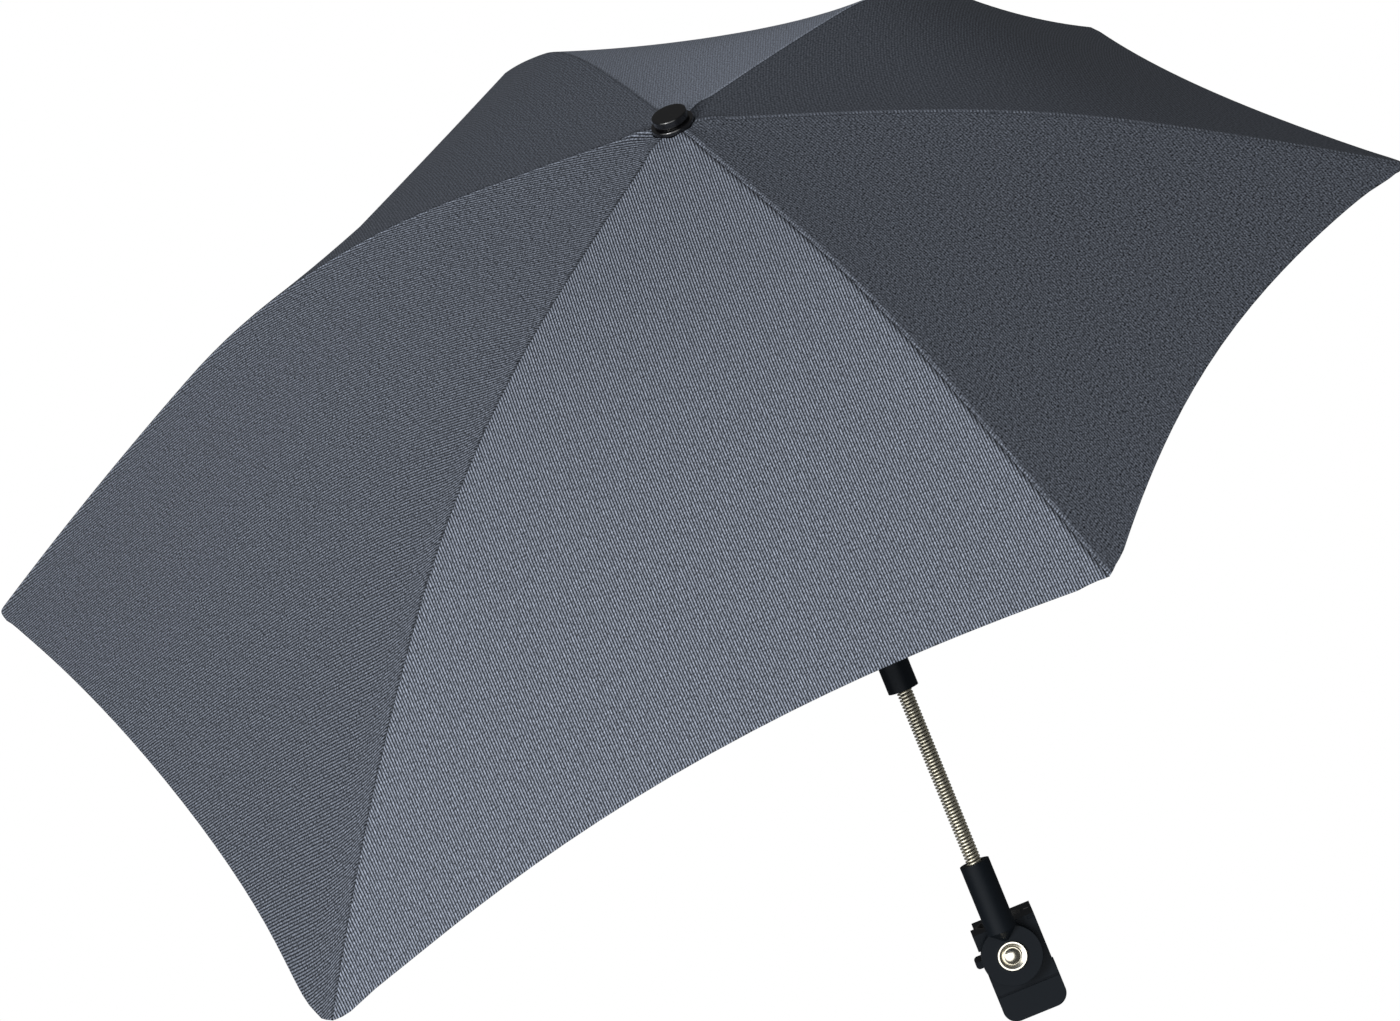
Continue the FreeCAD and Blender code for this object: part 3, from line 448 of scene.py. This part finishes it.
def half_gore(gore, far):
    """One half of a gore, from a rib to the gore's middle, as one skin: top, rounded rim, underside.

    far is 0 for the half beside the gore's own rib and 1 for the half beside the next one.
    """
    columns = half_columns(far)
    rows = 2 * (ALONG + 1) + BEAD - 1
    points, normals, weave, seam = [], [], [], []
    for row in range(rows):
        share = 1.0
        if row <= ALONG:
            share = (row / ALONG) ** ROW_EASE
        elif row >= ALONG + BEAD:
            share = ((rows - 1 - row) / ALONG) ** ROW_EASE
        turn = math.pi * min(max((row - ALONG) / BEAD, 0), 1)
        for across in columns:
            top = on_gore(gore, share, across)
            along, normal = gore_axes(gore, share, across)
            middle = on_gore(gore, share, 0.5)
            from_seam = np.linalg.norm(on_gore(gore, share, far) - top)
            sunk = CREASE_DEPTH * math.exp(-((from_seam / CREASE_HALF) ** 2)) * math.cos(turn / 2)
            facing = math.cos(turn) * normal + math.sin(turn) * along
            core = top - FABRIC_THICK / 2 * normal
            points.append(core + FABRIC_THICK / 2 * facing - sunk * normal)
            normals.append(facing)
            sign = 1 if far else -1
            weave.append((sign * np.linalg.norm(top - middle), np.linalg.norm(middle - CROWN)))
            seam.append((-sign * from_seam, share * LENGTHS[gore]))
    return points, normals, weave, seam, grid_faces(rows, HALF + 1, far == 1)


def wedge(rib):
    """The fabric that a rib carries: the far half of the gore before it and the near half of its own."""
    points, normals, weave, seam, faces, kinds = [], [], [], [], [], []
    for index, (gore, far) in enumerate(((before(rib), 1), (rib, 0))):
        half = half_gore(gore, far)
        faces += [tuple(len(points) + k for k in face) for face in half[4]]
        kinds += [index] * len(half[4])
        for whole, part in zip((points, normals, weave, seam), half):
            whole.extend(part)
    uvs = [("weave", weave), ("seam", seam)]
    cloths = [GORES[before(rib)], GORES[rib]]
    return new_mesh("canopy_wedge_%d" % (rib + 1), points, faces, cloths, kinds, uvs, normals)


def gather(piece, rib):
    """Rides on the rib."""
    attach(piece, "rib_%d" % (rib + 1))
    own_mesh(piece)


def hem(rib):
    """The turned-under edge of the fabric that a rib carries, as a flat band below the rim."""
    points, faces = [], []
    for gore, far in ((before(rib), 1), (rib, 0)):
        base = len(points)
        for across in half_columns(far):
            along, normal = gore_axes(gore, 1, across)
            inner = on_gore(gore, 1 - HEM_WIDE / LENGTHS[gore], across)
            for spot in (on_gore(gore, 1, across) - HEM_BACK * along, inner):
                for depth in (0.9 * FABRIC_THICK, FABRIC_THICK + HEM_THICK):
                    points.append(spot - depth * normal)
        for j in range(HALF):
            a = base + 4 * j
            for k, m in ((0, 1), (1, 3), (3, 2), (2, 0)):
                faces.append((a + k, a + m, a + 4 + m, a + 4 + k))
    made = new_mesh("hem_%d" % (rib + 1), points, faces, [HEM])
    made.data.polygons.foreach_set("use_smooth", [False] * len(faces))
    return made


def pocket(rib):
    """The sewn pocket under a corner that holds the rib's tip, open towards the crown."""
    previous = before(rib)
    points = []
    for i in range(POCKET_ROWS):
        inward = i / (POCKET_ROWS - 1)
        share = 1 - (POCKET_BACK + POCKET_LONG * inward) / LENGTHS[rib]
        slope = rib_line(rib, share * LENGTHS[rib])[1]
        normal = math.sin(slope) * OUTS[rib] + math.cos(slope) * UP
        fill = math.sin(min(1.0, 0.22 + 1.6 * inward) * math.pi / 2)
        for j in range(POCKET_COLUMNS):
            spread = 2 * j / (POCKET_COLUMNS - 1) - 1
            if spread < 0:
                top = on_gore(previous, share, 1 + spread * POCKET_HALF / WIDTHS[previous])
            else:
                top = on_gore(rib, share, spread * POCKET_HALF / WIDTHS[rib])
            belly = (POCKET_DEEP - FABRIC_THICK) * fill * math.cos(spread * math.pi / 2) ** 0.7
            points.append(top - (1.5 * FABRIC_THICK + belly) * normal)
    faces = grid_faces(POCKET_ROWS, POCKET_COLUMNS, False)
    made = new_mesh("tip_pocket_%d" % (rib + 1), points, faces, [HEM])
    wall = made.modifiers.new("wall", "SOLIDIFY")
    wall.thickness = HEM_THICK
    return made


for rib in GORE_IDS:
    cloth = wedge(rib)
    edge = hem(rib)
    pouch = pocket(rib)
    for piece in (cloth, edge, pouch):
        gather(piece, rib)
    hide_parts("canopy_panel_%d" % (rib + 1))


# Gooseneck: a bright coil on a dark core, between the stem and the upper sleeve
def tube_faces(rings, sides):
    faces = []
    for k in range(rings - 1):
        for m in range(sides):
            a, b = k * sides + m, k * sides + (m + 1) % sides
            faces.append((a, b, b + sides, a + sides))
    return faces


def coil_mesh():
    steps = int((COIL_HIGH - COIL_LOW) / COIL_PITCH * TURN_STEPS)
    wind = COIL_RADIUS - WIRE_RADIUS
    points = []
    for k in range(steps + 1):
        angle = 2 * math.pi * k / TURN_STEPS
        middle = COIL_LOW + COIL_PITCH * k / TURN_STEPS
        for m in range(WIRE_SIDES):
            turn = 2 * math.pi * m / WIRE_SIDES
            out = wind + WIRE_RADIUS * math.cos(turn)
            z = middle + WIRE_RADIUS * math.sin(turn)
            points.append((out * math.cos(angle), MAST_Y + out * math.sin(angle), z))
    return new_mesh("gooseneck_wire", points, tube_faces(steps + 1, WIRE_SIDES), [SPRING])


def core_mesh():
    points = []
    for k in range(CORE_RINGS + 1):
        z = CORE_LOW + (CORE_HIGH - CORE_LOW) * k / CORE_RINGS
        for m in range(CORE_SIDES):
            turn = 2 * math.pi * m / CORE_SIDES
            points.append((CORE_RADIUS * math.cos(turn), MAST_Y + CORE_RADIUS * math.sin(turn), z))
    faces = tube_faces(CORE_RINGS + 1, CORE_SIDES)
    faces.append(tuple(reversed(range(CORE_SIDES))))
    faces.append(tuple(CORE_RINGS * CORE_SIDES + m for m in range(CORE_SIDES)))
    return new_mesh("gooseneck_bar", points, faces, [RUBBER])


coil = coil_mesh()
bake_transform(coil)
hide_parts("gooseneck_coil")
core = core_mesh()
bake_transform(core)
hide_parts("gooseneck_core")

# Camera: in the mast's plane, a little above, rolled so that the mast leans in the picture
CAMERA_AT = Vector((0.0, -4.0063, 0.6830))
YAW, PITCH, ROLL = math.radians(-0.87), math.radians(5.95), math.radians(22.3)
FOCAL_PIXELS = 8000
PICTURE = (1400, 1021)
SENSOR = 36
forward = Vector((math.sin(YAW) * math.cos(PITCH), math.cos(YAW) * math.cos(PITCH), -math.sin(PITCH)))
level = forward.cross(Vector((0, 0, 1))).normalized()
across = math.cos(ROLL) * level + math.sin(ROLL) * forward.cross(level)
down = forward.cross(across)
camera = bpy.data.objects.new("camera", bpy.data.cameras.new("camera"))
scene.collection.objects.link(camera)
turn = Matrix((across, -down, -forward)).transposed().to_4x4()
camera.matrix_world = Matrix.Translation(CAMERA_AT) @ turn
camera.data.sensor_width = SENSOR
camera.data.lens = SENSOR * FOCAL_PIXELS / PICTURE[0]
camera.data.clip_end = 50
scene.camera = camera
scene.render.resolution_x, scene.render.resolution_y = PICTURE

# Light: even daylight on matt faces, and a soft lamp on the left
DAYLIGHT = 0.40
REFLECTED = 0.06
SOFT_BOX = (-0.45, -0.88, 0.15)
SOFT_BOX_LIGHT = 2.4
SWEEP = (0, 0.8, -0.6)
LAMP_AT = Vector((-1.9, -3.0, 1.05))
LAMP_AIM = Vector((0, -0.2, 0.35))
LAMP_WIDTH = 1.2
LAMP_POWER = 75
world = bpy.data.worlds.new("studio")
scene.world = world
world.use_nodes = True
nodes = world.node_tree.nodes
links = world.node_tree.links


def background(strength):
    node = nodes.new("ShaderNodeBackground")
    node.inputs["Color"].default_value = (1, 1, 1, 1)
    node.inputs["Strength"].default_value = strength
    return node.outputs["Background"]


def choose(switch, off, on):
    node = nodes.new("ShaderNodeMixShader")
    links.new(switch, node.inputs["Fac"])
    links.new(off, node.inputs[1])
    links.new(on, node.inputs[2])
    return node.outputs["Shader"]


def facing(way, start, end):
    """1 where a ray goes that way, 0 away from it; start and end are cosines."""
    toward = nodes.new("ShaderNodeTexCoord")
    dot = nodes.new("ShaderNodeVectorMath")
    dot.operation = "DOT_PRODUCT"
    dot.inputs[1].default_value = Vector(way).normalized()
    links.new(toward.outputs["Generated"], dot.inputs[0])
    ramp = nodes.new("ShaderNodeMapRange")
    ramp.inputs["From Min"].default_value = start
    ramp.inputs["From Max"].default_value = end
    links.new(dot.outputs["Value"], ramp.inputs["Value"])
    return ramp.outputs["Result"]


# In metal and gloss show the white sweep below and behind, a soft box at the left front and a dim room
backdrop = background(1.0)
room = choose(facing(SOFT_BOX, 0.60, 0.85), background(REFLECTED), background(SOFT_BOX_LIGHT))
mirrored = choose(facing(SWEEP, 0.85, 0.95), room, backdrop)
path = nodes.new("ShaderNodeLightPath")
lit = choose(path.outputs["Is Glossy Ray"], background(DAYLIGHT), mirrored)
links.new(choose(path.outputs["Is Camera Ray"], lit, backdrop), nodes["World Output"].inputs["Surface"])

lamp = bpy.data.lights.new("key", "AREA")
lamp.shape = "SQUARE"
lamp.size = LAMP_WIDTH
lamp.energy = LAMP_POWER
lamp_stand = bpy.data.objects.new("key", lamp)
lamp_stand.location = LAMP_AT
lamp_stand.rotation_euler = (LAMP_AIM - LAMP_AT).to_track_quat("-Z", "Y").to_euler()
scene.collection.objects.link(lamp_stand)
scene.view_settings.view_transform = "Standard"
